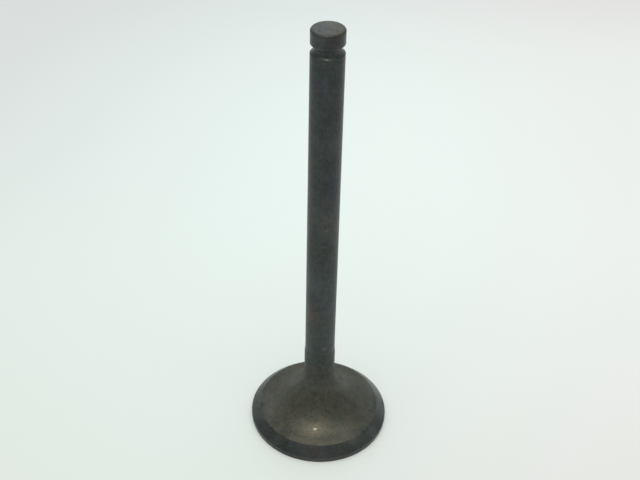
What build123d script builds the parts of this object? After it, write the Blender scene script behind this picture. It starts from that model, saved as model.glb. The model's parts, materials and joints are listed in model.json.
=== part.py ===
from build123d import *
import os
from math import radians, sqrt, tan

# Engine valve of the poppet kind: head, neck, stem and tip are one turned forging.
# Millimetres, +Z along the stem towards the tip, origin at the centre of the flat
# combustion face, on which the valve stands.

# Whole valve
overall_length = 120.0
stem_radius = 4.0

# Head, from the combustion face up
head_radius = 19.0
margin_height = 1.55        # plain cylindrical rim under the seat
seat_angle = 45.0           # seat face, measured from the plane of the head
seat_width = 2.45           # seat face, measured along the radius
rim_edge_radius = 0.25      # corner between the combustion face and the margin
seat_edge_radius = 0.12     # corner between the margin and the seat

# Tulip, the back of the head swept up into the neck
underhead_angle = 15.0      # cone behind the seat, measured from the plane of the head
tulip_radius = 14.0         # sweep, tangent to that cone and to the neck

# Neck, left a little thicker than the ground stem
neck_radius = 4.18
neck_top = 24.5
neck_bevel_height = 0.6
neck_bevel_radius = 0.8     # eases the two corners of that bevel

# Keeper groove near the tip, of a round section
groove_middle = 115.3
groove_width = 2.35         # at the mouth
groove_radius = 1.3         # of the bead in the keepers that it holds
groove_lip_radius = 0.2

# Tip
tip_edge_radius = 0.6

# Heights and radii that follow from them
seat_inner_radius = head_radius - seat_width
seat_top = margin_height + seat_width * tan(radians(seat_angle))
cone_run = seat_inner_radius - neck_radius
cone_top = seat_top + cone_run * tan(radians(underhead_angle))
stem_foot = neck_top + neck_bevel_height
groove_bottom = groove_middle - groove_width / 2
groove_top = groove_middle + groove_width / 2
groove_centre_radius = stem_radius + sqrt(groove_radius**2 - (groove_width / 2) ** 2)

# Corners of the half section as (radius, height), from the centre of the combustion
# face round the outside to the centre of the tip
face_centre = (0, 0)
rim_corner = (head_radius, 0)
seat_foot = (head_radius, margin_height)
seat_crest = (seat_inner_radius, seat_top)
tulip_corner = (neck_radius, cone_top)
neck_shoulder = (neck_radius, neck_top)
stem_shoulder = (stem_radius, stem_foot)
groove_lips = [(stem_radius, groove_bottom), (stem_radius, groove_top)]
groove_centre = (groove_centre_radius, groove_middle)
tip_corner = (stem_radius, overall_length)
tip_centre = (0, overall_length)


def corners(section, places):
    # the vertices of a half section that stand at the given places
    return [section.vertices().sort_by_distance(place)[0] for place in places]


with BuildPart() as valve:
    with BuildSketch(Plane.XZ) as half_section:
        # the forging as roughed out, with every corner sharp
        with BuildLine():
            Polyline(
                face_centre,
                rim_corner,
                seat_foot,
                seat_crest,
                tulip_corner,
                neck_shoulder,
                stem_shoulder,
                tip_corner,
                tip_centre,
                close=True,
            )
        make_face()

        # the keeper groove: its round section has no corner from which a crack could start
        with Locations(groove_centre):
            Circle(groove_radius, mode=Mode.SUBTRACT)

        # the sweep that carries the back of the head into the neck
        fillet(corners(half_section, [tulip_corner]), radius=tulip_radius)

        # eased lips of the groove
        fillet(corners(half_section, groove_lips), radius=groove_lip_radius)

        # smaller corners of the head and the neck, and the rounded edge of the tip
        fillet(corners(half_section, [rim_corner]), radius=rim_edge_radius)
        fillet(corners(half_section, [seat_foot]), radius=seat_edge_radius)
        fillet(corners(half_section, [neck_shoulder, stem_shoulder]), radius=neck_bevel_radius)
        fillet(corners(half_section, [tip_corner]), radius=tip_edge_radius)
    revolve(axis=Axis.Z)

valve.part.label = "valve"

os.makedirs("parts", exist_ok=True)
export_step(valve.part, "parts/valve.step")
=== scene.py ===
import json
import math

import bmesh
import bpy
from mathutils import Matrix, Vector


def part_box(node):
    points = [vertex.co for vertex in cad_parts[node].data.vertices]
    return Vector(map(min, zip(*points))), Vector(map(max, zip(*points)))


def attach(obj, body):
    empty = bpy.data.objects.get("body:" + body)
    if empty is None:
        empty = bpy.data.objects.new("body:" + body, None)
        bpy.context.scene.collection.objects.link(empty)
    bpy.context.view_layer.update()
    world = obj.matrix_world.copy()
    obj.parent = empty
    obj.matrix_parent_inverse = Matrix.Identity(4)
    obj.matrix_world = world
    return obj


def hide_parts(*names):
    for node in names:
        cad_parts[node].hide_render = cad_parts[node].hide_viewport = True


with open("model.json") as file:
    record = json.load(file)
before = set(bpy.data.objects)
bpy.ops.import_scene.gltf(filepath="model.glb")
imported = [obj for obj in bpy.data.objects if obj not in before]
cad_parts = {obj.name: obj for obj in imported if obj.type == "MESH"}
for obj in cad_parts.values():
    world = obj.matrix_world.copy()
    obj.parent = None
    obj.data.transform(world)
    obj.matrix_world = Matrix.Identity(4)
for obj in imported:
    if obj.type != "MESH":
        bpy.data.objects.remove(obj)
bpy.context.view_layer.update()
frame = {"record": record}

mm = 0.001
valveLow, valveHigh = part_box("valve")
stemMount = next(m for m in frame["record"]["mounts"] if m["name"] == "stem")
stemRadius = stemMount["dims"]["r_mm"] * mm
headRadius = min(valveHigh.x, valveHigh.y, -valveLow.x, -valveLow.y)
topGap = 0.0001 * mm                        # the mesh stays inside the solid's box
valveLength = valveHigh.z - topGap
print("frame loaded: head radius", round(headRadius, 5), "length", round(valveLength, 5))


class Wire:
    # one output socket; arithmetic on it adds Math nodes to its graph

    def __init__(self, graph, socket):
        self.graph = graph
        self.socket = socket

    def math(self, operation, first, second=0.0):
        return self.graph.add("ShaderNodeMath", {"operation": operation}, {0: first, 1: second})

    def __add__(self, other):
        return self.math("ADD", self, other)

    def __sub__(self, other):
        return self.math("SUBTRACT", self, other)

    def __rsub__(self, other):
        return self.math("SUBTRACT", other, self)

    def __mul__(self, other):
        return self.math("MULTIPLY", self, other)

    def __pow__(self, other):
        return self.math("POWER", self, other)

    __radd__ = __add__
    __rmul__ = __mul__


class Graph:
    # a node tree that is filled from expressions

    def __init__(self, tree):
        self.tree = tree
        tree.nodes.clear()

    def add(self, kind, settings=None, sockets=None, output=0):
        node = self.tree.nodes.new(kind)
        for name, value in (settings or {}).items():
            setattr(node, name, value)
        for key, value in (sockets or {}).items():
            if isinstance(value, Wire):
                self.tree.links.new(value.socket, node.inputs[key])
            else:
                node.inputs[key].default_value = value
        return Wire(self, node.outputs[output]) if node.outputs else None

    def ramp(self, value, low, high):
        # 0 below low, 1 above high, smooth between
        return self.add("ShaderNodeMapRange", {"interpolation_type": "SMOOTHSTEP"},
                        {"Value": value, "From Min": low, "From Max": high})

    def band(self, value, low, high, soft):
        # 1 between low and high, fading over soft on either side
        above = self.ramp(value, low - soft, low + soft)
        return above * (1 - self.ramp(value, high - soft, high + soft))

    def larger(self, first, second):
        return self.add("ShaderNodeMath", {"operation": "MAXIMUM"}, {0: first, 1: second})

    def blend(self, factor, first, second):
        # numbers in and out
        return first + factor * (second - first)

    def mix(self, factor, first, second, blend="MIX"):
        # colours in and out; sockets 6 and 7 of the node are its two colours
        colours = [c if isinstance(c, Wire) else (*c, 1.0) for c in (first, second)]
        return self.add("ShaderNodeMix", {"data_type": "RGBA", "blend_type": blend},
                        {0: factor, 6: colours[0], 7: colours[1]}, output=2)

    def vector(self, operation, first, second):
        return self.add("ShaderNodeVectorMath", {"operation": operation}, {0: first, 1: second})

    def measure(self, operation, first, second=(0.0, 0.0, 0.0)):
        # vectors in, a number out
        return self.add("ShaderNodeVectorMath", {"operation": operation}, {0: first, 1: second},
                        output="Value")

    def noise(self, point, scale, detail, rough, offset):
        # a pattern about zero, from -0.5 to 0.5
        shifted = self.vector("ADD", point, (offset, offset, offset))
        return self.add("ShaderNodeTexNoise", {"noise_dimensions": "3D"},
                        {"Vector": shifted, "Scale": scale, "Detail": detail, "Roughness": rough}) - 0.5


def placeOf(graph):
    # position on the piece in millimetres, with its height and its distance from the stem's axis
    metres = graph.add("ShaderNodeTexCoord", output="Object")
    point = graph.add("ShaderNodeVectorMath", {"operation": "SCALE"}, {0: metres, "Scale": 1 / mm})
    height = graph.add("ShaderNodeSeparateXYZ", sockets={0: point}, output="Z")
    radius = graph.measure("LENGTH", graph.vector("MULTIPLY", point, (1.0, 1.0, 0.0)))
    return point, height, radius


cameraPlace = {
    "standOff": 0.20891,
    "height": 0.22286,
    "pitch": 38.688,        # degrees below the horizon
    "yaw": 2.948,           # degrees, anticlockwise seen from above
    "roll": -0.322,
    "lens": 59.06,
    "sensor": 36.0,
    "shift": (0.0625, 0.03125),
    "clip": (0.01, 20.0),
}


def makeCamera():
    place = cameraPlace
    data = bpy.data.cameras.new("camera")
    data.lens = place["lens"]
    data.sensor_width = place["sensor"]
    data.shift_x, data.shift_y = place["shift"]
    data.clip_start, data.clip_end = place["clip"]
    camera = bpy.data.objects.new("camera", data)
    bpy.context.scene.collection.objects.link(camera)
    turn = Matrix.Rotation(math.radians(place["yaw"]), 4, "Z")
    tilt = Matrix.Rotation(math.radians(90.0 - place["pitch"]), 4, "X")
    roll = Matrix.Rotation(math.radians(place["roll"]), 4, "Z")
    stand = Matrix.Translation((0.0, -place["standOff"], place["height"]))
    camera.matrix_world = stand @ turn @ tilt @ roll
    bpy.context.scene.camera = camera


makeCamera()
print("camera placed")


valveShape = {
    "sides": 256,
    "marginHeight": 1.55 * mm,
    "seatWidth": 2.45 * mm,             # along the radius, at 45 degrees
    "underheadAngle": 15.0,             # cone behind the seat, from the plane of the head
    "neckRadius": 4.15 * mm,
    "neckTop": 24.55 * mm,
    "neckBevel": 1.0 * mm,              # height of the step from the neck to the stem
    "grooveMiddle": 115.3 * mm,
    "grooveWidth": 2.35 * mm,           # at the mouth
    "grooveRadius": 1.3 * mm,           # of its round section
    "grooveSteps": 22,
    "smoothAngle": 25.0,                # edges sharper than this stay hard
    "ringNear": 0.02 * mm,              # how close an edge lies to the ring it belongs to
    "weld": 0.001 * mm,
    # each corner's radius, its change of direction in degrees, and the faces round it
    "corners": {
        "tulip": (14.0 * mm, 75.0, 36),         # the sweep from the cone behind the seat into the neck
        "lowerLip": (0.08 * mm, 64.0, 5),
        "upperLip": (0.3 * mm, 64.0, 6),
        "rim": (0.25 * mm, 90.0, 6),
        "seatFoot": (0.12 * mm, 45.0, 4),
        "seatCrest": (0.1 * mm, 25.0, 3),
        "neckShoulder": (4.0 * mm, 8.5, 4),
        "stemShoulder": (4.0 * mm, 8.5, 4),
        "tipEdge": (0.6 * mm, 90.0, 10),
    },
}


def deselect():
    bpy.ops.object.select_all(action="DESELECT")


def pickRing(piece, place):
    # selects the ring of edges that stands at a (radius, height)
    mesh = bmesh.from_edit_mesh(piece.data)
    for face in mesh.faces:
        face.select = False
    for edge in mesh.edges:
        ends = [(math.hypot(v.co.x, v.co.y), v.co.z) for v in edge.verts]
        edge.select = all(math.dist(end, place) < valveShape["ringNear"] for end in ends)
    mesh.select_flush(True)
    bmesh.update_edit_mesh(piece.data)


def turnBlank(name, outline, sides):
    # a disc at the foot of the outline, then one extrusion for each corner above it
    deselect()
    startRadius, startHeight = outline[0]
    bpy.ops.mesh.primitive_circle_add(vertices=sides, radius=startRadius, fill_type="TRIFAN",
                                      location=(0.0, 0.0, startHeight))
    piece = bpy.context.active_object
    piece.name = name
    piece.data.name = name
    bpy.ops.object.transform_apply(location=True)
    bpy.ops.object.mode_set(mode="EDIT")
    bpy.ops.mesh.select_mode(type="EDGE")
    pickRing(piece, outline[0])
    for (oldRadius, oldHeight), (radius, height) in zip(outline, outline[1:]):
        rise = height - oldHeight
        bpy.ops.mesh.extrude_edges_move(TRANSFORM_OT_translate={"value": (0.0, 0.0, rise)})
        size = radius / oldRadius
        bpy.ops.transform.resize(value=(size, size, 1.0), center_override=(0.0, 0.0, height))
    bpy.ops.mesh.select_all(action="SELECT")
    bpy.ops.mesh.remove_doubles(threshold=valveShape["weld"])
    bpy.ops.mesh.normals_make_consistent(inside=False)
    return piece


def roundCorner(piece, place, radius, turn, segments):
    # a bevel whose faces meet both neighbours tangentially
    pickRing(piece, place)
    reach = radius * math.tan(math.radians(turn) / 2)
    bpy.ops.mesh.bevel(offset_type="OFFSET", offset=reach, segments=segments, profile=0.5,
                       affect="EDGES", clamp_overlap=False)


def grooveArc():
    # the groove's round section as (radius, height) points, from its lower lip to its upper lip
    shape = valveShape
    halfWidth = shape["grooveWidth"] / 2
    centre = stemRadius + math.sqrt(shape["grooveRadius"] ** 2 - halfWidth ** 2)
    lipAngle = math.asin(halfWidth / shape["grooveRadius"])
    arc = []
    for step in range(shape["grooveSteps"] + 1):
        angle = lipAngle * (2 * step / shape["grooveSteps"] - 1)
        arc.append((centre - shape["grooveRadius"] * math.cos(angle),
                    shape["grooveMiddle"] + shape["grooveRadius"] * math.sin(angle)))
    return arc


def makeValve():
    shape = valveShape
    seatInner = headRadius - shape["seatWidth"]
    seatTop = shape["marginHeight"] + shape["seatWidth"]
    coneSlope = math.tan(math.radians(shape["underheadAngle"]))
    coneTop = seatTop + (seatInner - shape["neckRadius"]) * coneSlope
    groove = grooveArc()
    places = {
        "rim": (headRadius, 0.0),
        "seatFoot": (headRadius, shape["marginHeight"]),
        "seatCrest": (seatInner, seatTop),
        "tulip": (shape["neckRadius"], coneTop),
        "neckShoulder": (shape["neckRadius"], shape["neckTop"]),
        "stemShoulder": (stemRadius, shape["neckTop"] + shape["neckBevel"]),
        "lowerLip": groove[0],
        "upperLip": groove[-1],
        "tipEdge": (stemRadius, valveLength),
    }
    headCorners = ("rim", "seatFoot", "seatCrest", "tulip", "neckShoulder", "stemShoulder")
    outline = [places[name] for name in headCorners]
    outline += [*groove, places["tipEdge"], (0.0, valveLength)]
    piece = turnBlank("valveBody", outline, shape["sides"])
    for name, (radius, turn, faces) in shape["corners"].items():
        roundCorner(piece, places[name], radius, turn, faces)

    bpy.ops.mesh.select_all(action="SELECT")
    bpy.ops.mesh.normals_make_consistent(inside=False)
    bpy.ops.object.mode_set(mode="OBJECT")
    bpy.ops.object.shade_smooth_by_angle(angle=math.radians(shape["smoothAngle"]))
    return piece


valveBody = makeValve()
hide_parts("valve")
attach(valveBody, "root")
print("valve turned:", len(valveBody.data.polygons), "faces")


steelLook = {
    "stemCool": (0.0365, 0.0465, 0.0475),
    "stemWarm": (0.0415, 0.0465, 0.0445),
    "stemGreen": (0.0360, 0.0490, 0.0445),
    "tulip": (0.0649, 0.0681, 0.0556),
    "tulipWarm": (0.0714, 0.0695, 0.0550),
    "tulipGreen": (0.0632, 0.0709, 0.0540),
    "seat": (0.0329, 0.0418, 0.0423),
    "seatWarm": (0.0389, 0.0414, 0.0401),
    "margin": (0.0494, 0.0525, 0.0504),
    "tip": (0.062, 0.071, 0.073),
    "tipWarm": (0.071, 0.070, 0.063),
    "soot": (0.035, 0.031, 0.028),
    # how far each pattern has to rise for the second colour to start and to be full
    "stemTurn": (-0.14, 0.14),
    "tulipTurn": (-0.16, 0.16),
    "seatTurn": (-0.10, 0.14),
    "tipTurn": (-0.10, 0.20),
    "greenTurn": (-0.02, 0.16),
    "green": 0.7,
    "seatClouds": 0.5,
    "tipClouds": 2.0,
    "stainWander": 1.2,                 # how much the mottling frays a stain's edge
    "stainEdge": (0.2, 1.1),            # a stain fades between these shares of its reach
    "grooveShadeAndTipEdge": 0.98,                  # painted shade in the groove's hollow, and the tip's edge darker, against clean metal
    "lipPaintedLight": 1.7,                    # painted light over the groove's upper part under the collar's lip, lifting its shade
    "lowShade": 1.13,                   # the lower stem is lighter
    "tipMottle": 0.9,                   # the flat of the tip is blotchier than the stem
    "tipSpeckle": 0.45,
    "pitEdge": (0.12, 0.24),
    "dirtRough": 0.08,
    "edgeRough": 0.28,
    "ringRough": 0.1,
    # the next pairs are the forged head, then the ground seat and stem
    "metallic": (0.62, 0.30),
    "rough": (0.44, 0.30),
    "roughMottle": (0.10, 0.05),
    "clouds": (0.45, 0.90),
    "mottle": (0.65, 0.55),
    "speckle": (0.80, 0.85),
    "grain": (0.60, 0.60),
    "pits": (0.12, 0.16),
    "grainRelief": (1.0, 0.4),
    "ringRelief": 0.25,
    "mottleRelief": 0.5,
    "bump": 0.00008,
    "bumpStrength": 0.25,
    "coat": 0.12,                       # a thin burnt film over the metal
    "coatSpeckle": 5.0,
    "coatRough": 0.12,
    "specularTint": (0.45, 0.45, 0.45, 1.0),
    # each pattern's features per millimetre, detail, roughness and offset
    "patterns": {
        "clouds": (0.16, 2.0, 0.55, 3.7),
        "warmth": (0.24, 3.0, 0.55, 17.3),
        "greenness": (0.24, 2.0, 0.55, 29.9),
        "mottle": (0.55, 4.0, 0.55, 11.2),
        "speckle": (1.4, 3.0, 0.7, 7.9),
        "grain": (3.2, 3.0, 0.7, 5.1),
        "pits": (1.1, 1.0, 0.55, 41.0),
        "rings": (1.0, 3.0, 0.7, 0.0),
    },
    "ringStretch": (0.12, 0.12, 5.0),   # drawn out round the axis, as grinding leaves them
    # where the finishes meet, in mm; pairs are the start and the end of a change
    "edges": {
        "margin": (-0.05, 0.05),            # over the margin's top
        "seat": (-0.03, 0.05),              # over the seat's crest
        "stem": (15.0, 27.55),              # from the tulip's colour to the stem's
        "stemWander": 6.0,                  # how far the mottling moves that change
        "neck": (-2.5, 2.5),                # over the neck's top, from forged to ground
        "neckWander": 5.0,
        "lowStem": (35.0, 90.0),            # the lower stem is duller and paler
        "lowWear": 0.35,
        "seatGround": 0.85,                 # how finely the seat is ground, against the stem
        "tip": (-0.62, -0.45),              # over the top
        "tipFlat": (3.2, 4.0),              # the bright flat of the tip ends between these radii
        "tipSpeckle": 0.9,
        "tipWander": 1.2,
        "grooveSoft": 0.05,
        "lipBelow": 0.65,
        "lipAbove": 0.15,
        "underside": (0.02, 0.22),
    },
    # place in mm, reach in mm, colour, and how much of it shows; most are the metal's own stains and
    # tones, the few marked below are painted light and shade
    "stainsAndPaintedLight": [
        # tip
        ((-1.0, 0.4, 120.0), 2.6, (0.049, 0.063, 0.065), 0.9),
        ((-2.9, 0.3, 120.0), 1.2, (0.080, 0.090, 0.090), 0.7),
        ((1.7, 0.2, 120.0), 1.7, (0.082, 0.084, 0.078), 0.8),
        ((0.5, -2.4, 120.0), 1.6, (0.083, 0.082, 0.076), 0.8),
        ((2.4, -2.0, 120.0), 1.4, (0.070, 0.064, 0.050), 0.9),
        ((0.5, -3.9, 118.2), 2.6, (0.038, 0.037, 0.037), 0.8),
        # painted reflection: a lighter patch on the groove's lower right flank, where the bright room
        # shines in it
        ((2.9, -2.2, 115.4), 1.7, (0.064, 0.066, 0.064), 0.8),
        # stem, downward
        ((-0.8, -3.9, 110.0), 6.5, (0.028, 0.038, 0.037), 0.85),
        ((0.2, -3.9, 101.0), 6.5, (0.030, 0.038, 0.036), 0.8),
        ((-1.1, -3.8, 107.3), 2.6, (0.044, 0.040, 0.058), 0.8),
        ((3.4, -2.1, 95.0), 6.5, (0.046, 0.056, 0.055), 0.6),
        ((3.0, -2.6, 83.0), 3.6, (0.037, 0.044, 0.058), 0.7),
        ((1.9, -3.5, 78.5), 3.0, (0.040, 0.043, 0.056), 0.7),
        ((-0.7, -3.9, 81.2), 2.6, (0.030, 0.032, 0.033), 0.6),
        ((2.1, -3.4, 69.0), 5.2, (0.063, 0.065, 0.063), 0.8),
        ((-1.5, -3.6, 76.0), 3.6, (0.044, 0.046, 0.047), 0.6),
        ((-3.9, -0.8, 61.0), 9.0, (0.028, 0.034, 0.032), 0.8),
        ((1.2, -3.8, 43.0), 4.5, (0.042, 0.050, 0.059), 0.6),
        ((-2.6, -3.0, 39.5), 4.8, (0.058, 0.053, 0.047), 0.8),
        ((-2.0, -3.4, 33.0), 3.6, (0.045, 0.058, 0.043), 0.6),
        ((1.1, -3.8, 28.2), 1.1, (0.068, 0.070, 0.074), 0.8),
        # tulip
        # painted shade: these two patches set the dark middle at the neck's foot, a painted dark
        # reflection of the room's near side in the sweep
        ((-0.5, -4.4, 18.0), 6.5, (0.059, 0.060, 0.055), 0.7),
        ((0.4, -6.1, 12.0), 4.0, (0.043, 0.045, 0.040), 0.3),
        ((-13.1, -2.8, 4.9), 6.0, (0.094, 0.095, 0.084), 0.8),
        ((13.5, -3.3, 4.9), 4.5, (0.078, 0.079, 0.066), 0.7),
        ((9.5, -11.6, 4.4), 4.5, (0.086, 0.088, 0.075), 0.8),
        ((-9.0, -12.8, 4.4), 3.4, (0.046, 0.047, 0.040), 0.8),
        # painted highlight: a warm glow round the lamp's highlight on the sweep
        ((0.3, -11.7, 5.5), 2.7, (0.094, 0.082, 0.060), 0.6),
        # seat
        ((-1.3, -17.7, 2.8), 2.6, (0.037, 0.033, 0.031), 0.7),
        # painted reflection: these lighter patches on the seat's right stand for the bright right side
        # of the room shining in it
        ((12.8, -12.0, 3.0), 3.4, (0.043, 0.054, 0.051), 0.8),
        ((16.2, 7.0, 2.8), 5.5, (0.096, 0.110, 0.105), 0.9),
        ((17.4, -1.5, 2.8), 5.0, (0.051, 0.061, 0.059), 0.9),
        ((15.1, -9.4, 2.8), 2.8, (0.066, 0.080, 0.077), 0.8),
        ((-12.9, -12.2, 2.8), 2.2, (0.023, 0.029, 0.029), 0.7),
        ((-9.6, -15.0, 2.8), 2.6, (0.027, 0.033, 0.032), 0.8),
        ((-17.3, -3.2, 2.8), 4.0, (0.046, 0.056, 0.054), 0.8),
    ],
}


def steelPlaces(graph, height, radius, noise):
    # where each finish lies, as factors from 0 to 1
    shape = valveShape
    edges = steelLook["edges"]
    marginTop = shape["marginHeight"] / mm
    seatTop = (shape["marginHeight"] + shape["seatWidth"]) / mm
    neckTop = shape["neckTop"] / mm
    tipTop = valveLength / mm
    grooveLow = (shape["grooveMiddle"] - shape["grooveWidth"] / 2) / mm
    grooveHigh = (shape["grooveMiddle"] + shape["grooveWidth"] / 2) / mm

    places = {}
    places["seatUp"] = graph.ramp(height, *[marginTop + over for over in edges["margin"]])
    places["tulipUp"] = graph.ramp(height, *[seatTop + over for over in edges["seat"]])
    places["stem"] = graph.ramp(height + noise["mottle"] * edges["stemWander"], *edges["stem"])
    places["lowStem"] = places["stem"] * (1 - graph.ramp(height, *edges["lowStem"]))
    ground = graph.ramp(height + noise["mottle"] * edges["neckWander"],
                        *[neckTop + over for over in edges["neck"]])
    ground = ground * (1 - places["lowStem"] * edges["lowWear"])
    places["ground"] = graph.larger(ground, edges["seatGround"] * (1 - places["tulipUp"]))
    atTip = graph.ramp(height, *[tipTop + over for over in edges["tip"]])
    flatRadius = radius + noise["speckle"] * edges["tipSpeckle"] + noise["mottle"] * edges["tipWander"]
    places["tipFlat"] = atTip * (1 - graph.ramp(flatRadius, *edges["tipFlat"]))
    places["tipEdge"] = atTip * (1 - places["tipFlat"])
    soft = edges["grooveSoft"]
    places["groove"] = graph.band(height, grooveLow + soft, grooveHigh, soft)
    # painted light: the band where the groove lies in shade under the collar's lip
    places["lip"] = graph.band(height, grooveHigh - edges["lipBelow"], grooveHigh + edges["lipAbove"],
                               edges["lipAbove"])
    places["underside"] = 1 - graph.ramp(height, *edges["underside"])
    return places


def steelColour(graph, point, places, noise):
    look = steelLook
    clouds = noise["clouds"]
    warmth = noise["warmth"]
    green = graph.ramp(noise["greenness"], *look["greenTurn"]) * look["green"]
    seat = graph.mix(graph.ramp(warmth + clouds * look["seatClouds"], *look["seatTurn"]),
                     look["seat"], look["seatWarm"])
    tulip = graph.mix(graph.ramp(warmth + clouds, *look["tulipTurn"]), look["tulip"], look["tulipWarm"])
    tulip = graph.mix(green, tulip, look["tulipGreen"])
    stem = graph.mix(graph.ramp(warmth, *look["stemTurn"]), look["stemCool"], look["stemWarm"])
    stem = graph.mix(green, stem, look["stemGreen"])
    tip = graph.mix(graph.ramp(clouds * look["tipClouds"] + warmth, *look["tipTurn"]),
                    look["tip"], look["tipWarm"])

    colour = graph.mix(places["seatUp"], look["margin"], seat)
    colour = graph.mix(places["tulipUp"], colour, tulip)
    colour = graph.mix(places["stem"], colour, stem)
    colour = graph.mix(places["tipFlat"], colour, tip)
    # the patches are mixed in: stains and tones, and the painted light and shade marked in the list
    for place, reach, patchColour, strength in look["stainsAndPaintedLight"]:
        away = graph.measure("DISTANCE", point, place) * (1 / reach)
        spread = 1 - graph.ramp(away + noise["mottle"] * look["stainWander"], *look["stainEdge"])
        colour = graph.mix(spread * strength, colour, patchColour)
    return graph.mix(places["underside"], colour, look["soot"])


def steelShade(graph, places, noise):
    # light and dark, as a grey to multiply the colour by: the metal's own tones, with painted shade in
    # the groove and painted light under the collar's lip
    look = steelLook
    ground = places["ground"]
    depth = 1.0
    for name in ("clouds", "mottle", "speckle", "grain"):
        depth = depth + noise[name] * graph.blend(ground, *look[name])
    pits = graph.ramp(noise["pits"], *look["pitEdge"])
    depth = depth * (1 - pits * graph.blend(ground, *look["pits"]))
    # painted shade: the groove, a hollow, is darkened; the tip's edge is darkened too
    depth = depth * graph.blend(places["groove"] + places["tipEdge"], 1.0, look["grooveShadeAndTipEdge"])
    # painted light under the collar's lip, against the groove's shade
    depth = depth * graph.blend(places["lip"], 1.0, look["lipPaintedLight"])
    depth = depth * graph.blend(places["lowStem"], 1.0, look["lowShade"])
    blotches = noise["mottle"] * look["tipMottle"] + noise["speckle"] * look["tipSpeckle"]
    depth = depth * (1 + places["tipFlat"] * blotches)
    return graph.add("ShaderNodeCombineXYZ", sockets={0: depth, 1: depth, 2: depth})


def valveSteel():
    look = steelLook
    material = bpy.data.materials.new("oxidisedSteel")
    material.use_nodes = True
    graph = Graph(material.node_tree)
    point, height, radius = placeOf(graph)
    noise = {}
    for name, values in look["patterns"].items():
        where = graph.vector("MULTIPLY", point, look["ringStretch"]) if name == "rings" else point
        noise[name] = graph.noise(where, *values)
    places = steelPlaces(graph, height, radius, noise)
    ground = places["ground"]
    colour = steelColour(graph, point, places, noise)
    colour = graph.mix(1.0, colour, steelShade(graph, places, noise), "MULTIPLY")

    rings = noise["rings"] * places["stem"]
    rough = graph.blend(ground, *look["rough"]) + rings * look["ringRough"]
    rough = rough + noise["mottle"] * graph.blend(ground, *look["roughMottle"])
    rough = rough + places["groove"] * look["dirtRough"] + places["tipEdge"] * look["edgeRough"]
    relief = noise["grain"] * graph.blend(ground, *look["grainRelief"])
    relief = relief + rings * look["ringRelief"] + noise["mottle"] * look["mottleRelief"]
    film = look["coat"] * (1.0 + (noise["speckle"] + noise["grain"]) * look["coatSpeckle"])
    normal = graph.add("ShaderNodeBump", sockets={
        "Strength": look["bumpStrength"], "Distance": look["bump"], "Height": relief})
    surface = graph.add("ShaderNodeBsdfPrincipled", sockets={
        "Base Color": colour, "Metallic": graph.blend(ground, *look["metallic"]), "Roughness": rough,
        "Normal": normal, "Specular Tint": look["specularTint"],
        "Coat Weight": film, "Coat Roughness": look["coatRough"]})
    graph.add("ShaderNodeOutputMaterial", sockets={"Surface": surface})
    return material


valveBody.data.materials.append(valveSteel())
print("valve finished:", len(steelLook["stainsAndPaintedLight"]), "stainsAndPaintedLight")


floorLook = {
    "size": 6.0,
    # painted light: a pool of light on the floor, palest at its centre and darker towards its edges
    "middle": (0.834, 0.922, 0.947),
    "edgeNear": (0.743, 0.763, 0.780),
    "edgeFar": (0.703, 0.701, 0.749),
    "far": (0.05, 0.161),               # from near to far along the floor
    "centre": (0.12, 0.139),            # the middle of that painted pool of light, the palest place of the floor
    "reach": (0.261, 0.203),            # how far from there, across and away, the edge colour is reached
    "edge": (0.2, 1.25),                # it starts and ends at these shares of that reach
    "coolSide": (0.997, 1.052, 1.042),  # the light is cooler on the left
    "warmSide": (1.003, 0.951, 0.960),
    "sides": (-0.05, 0.131),
    "roughness": 0.9,
    "specular": 0.2,
    "fade": (0.7, 2.6),                 # the table passes into the room behind between these distances
}


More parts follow.
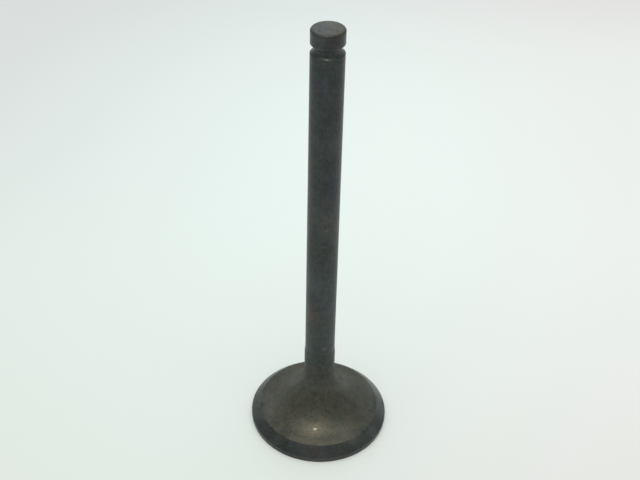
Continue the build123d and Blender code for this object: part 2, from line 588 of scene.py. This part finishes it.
def makeFloor():
    look = floorLook
    deselect()
    bpy.ops.mesh.primitive_plane_add(size=look["size"], location=(0.0, 0.0, 0.0))
    floor = bpy.context.active_object
    floor.name = "floor"
    material = bpy.data.materials.new("paleTable")
    material.use_nodes = True
    graph = Graph(material.node_tree)
    place = graph.add("ShaderNodeTexCoord", output="Object")
    across = graph.add("ShaderNodeSeparateXYZ", sockets={0: place}, output="X")
    away = graph.add("ShaderNodeSeparateXYZ", sockets={0: place}, output="Y")
    offset = graph.vector("SUBTRACT", place, (*look["centre"], 0.0))
    reach = [1 / length for length in look["reach"]]
    out = graph.measure("LENGTH", graph.vector("MULTIPLY", offset, (*reach, 0.0)))
    # painted light: the pool's pale middle passing into the darker edges
    edge = graph.mix(graph.ramp(away, *look["far"]), look["edgeNear"], look["edgeFar"])
    colour = graph.mix(graph.ramp(out, *look["edge"]), look["middle"], edge)
    tint = graph.mix(graph.ramp(across, *look["sides"]), look["coolSide"], look["warmSide"])
    colour = graph.mix(1.0, colour, tint, "MULTIPLY")
    table = graph.add("ShaderNodeBsdfPrincipled", sockets={
        "Base Color": colour, "Roughness": look["roughness"], "Specular IOR Level": look["specular"]})
    distance = graph.measure("LENGTH", place)
    surface = graph.add("ShaderNodeMixShader", sockets={
        0: graph.ramp(distance, *look["fade"]), 1: table, 2: graph.add("ShaderNodeBsdfTransparent")})
    graph.add("ShaderNodeOutputMaterial", sockets={"Surface": surface})
    floor.data.materials.append(material)


skyLook = {
    "strength": 1.04,
    "colour": (0.93, 0.97, 0.96),
    "room": (0.42, 0.44, 0.43),         # the darker half of the room, on the near side of the table
    "roomHeading": (0.0, -1.0, 0.0),
    "roomTurn": (-1.05, -0.10),         # how far a direction leans to the near side: -1 away, 1 near
    "ceiling": (2.5, 2.40, 2.17),       # the lit middle of the ceiling
    "ceilingHeading": (-0.025, -0.18, 1.0),
    "ceilingFocus": 10.0,               # the higher, the faster its light falls off around that heading
}


def makeWorld():
    look = skyLook
    world = bpy.data.worlds.new("studio")
    bpy.context.scene.world = world
    world.use_nodes = True
    graph = Graph(world.node_tree)
    heading = graph.add("ShaderNodeTexCoord", output="Generated")
    leaning = graph.measure("DOT_PRODUCT", heading, look["roomHeading"])
    middle = Vector(look["ceilingHeading"]).normalized()
    rise = graph.measure("DOT_PRODUCT", heading, middle)
    overhead = graph.larger(rise, 0.0) ** look["ceilingFocus"]
    near = graph.ramp(leaning, *look["roomTurn"])
    colour = graph.mix(overhead, graph.mix(near, look["colour"], look["room"]), look["ceiling"])
    sky = graph.add("ShaderNodeBackground", sockets={"Color": colour, "Strength": look["strength"]})
    graph.add("ShaderNodeOutputWorld", sockets={"Surface": sky})


lampLook = {
    "place": (-0.057, -0.273, 1.1),
    "target": (0.0, -0.012, 0.006),
    "size": 0.05,
    "power": 2.0,
    "colour": (1.0, 0.91, 0.78),
}


def makeLamp():
    look = lampLook
    data = bpy.data.lights.new("overhead", "AREA")
    data.shape = "DISK"
    data.size = look["size"]
    data.energy = look["power"]
    data.color = look["colour"]
    data.use_shadow = False
    lamp = bpy.data.objects.new("overhead", data)
    bpy.context.scene.collection.objects.link(lamp)
    lamp.location = look["place"]
    lamp.rotation_mode = "QUATERNION"
    lamp.rotation_quaternion = (Vector(look["target"]) - Vector(look["place"])).to_track_quat("-Z", "Y")


makeFloor()
makeWorld()
makeLamp()
bpy.context.scene.view_settings.view_transform = "Standard"
print("stage lit")
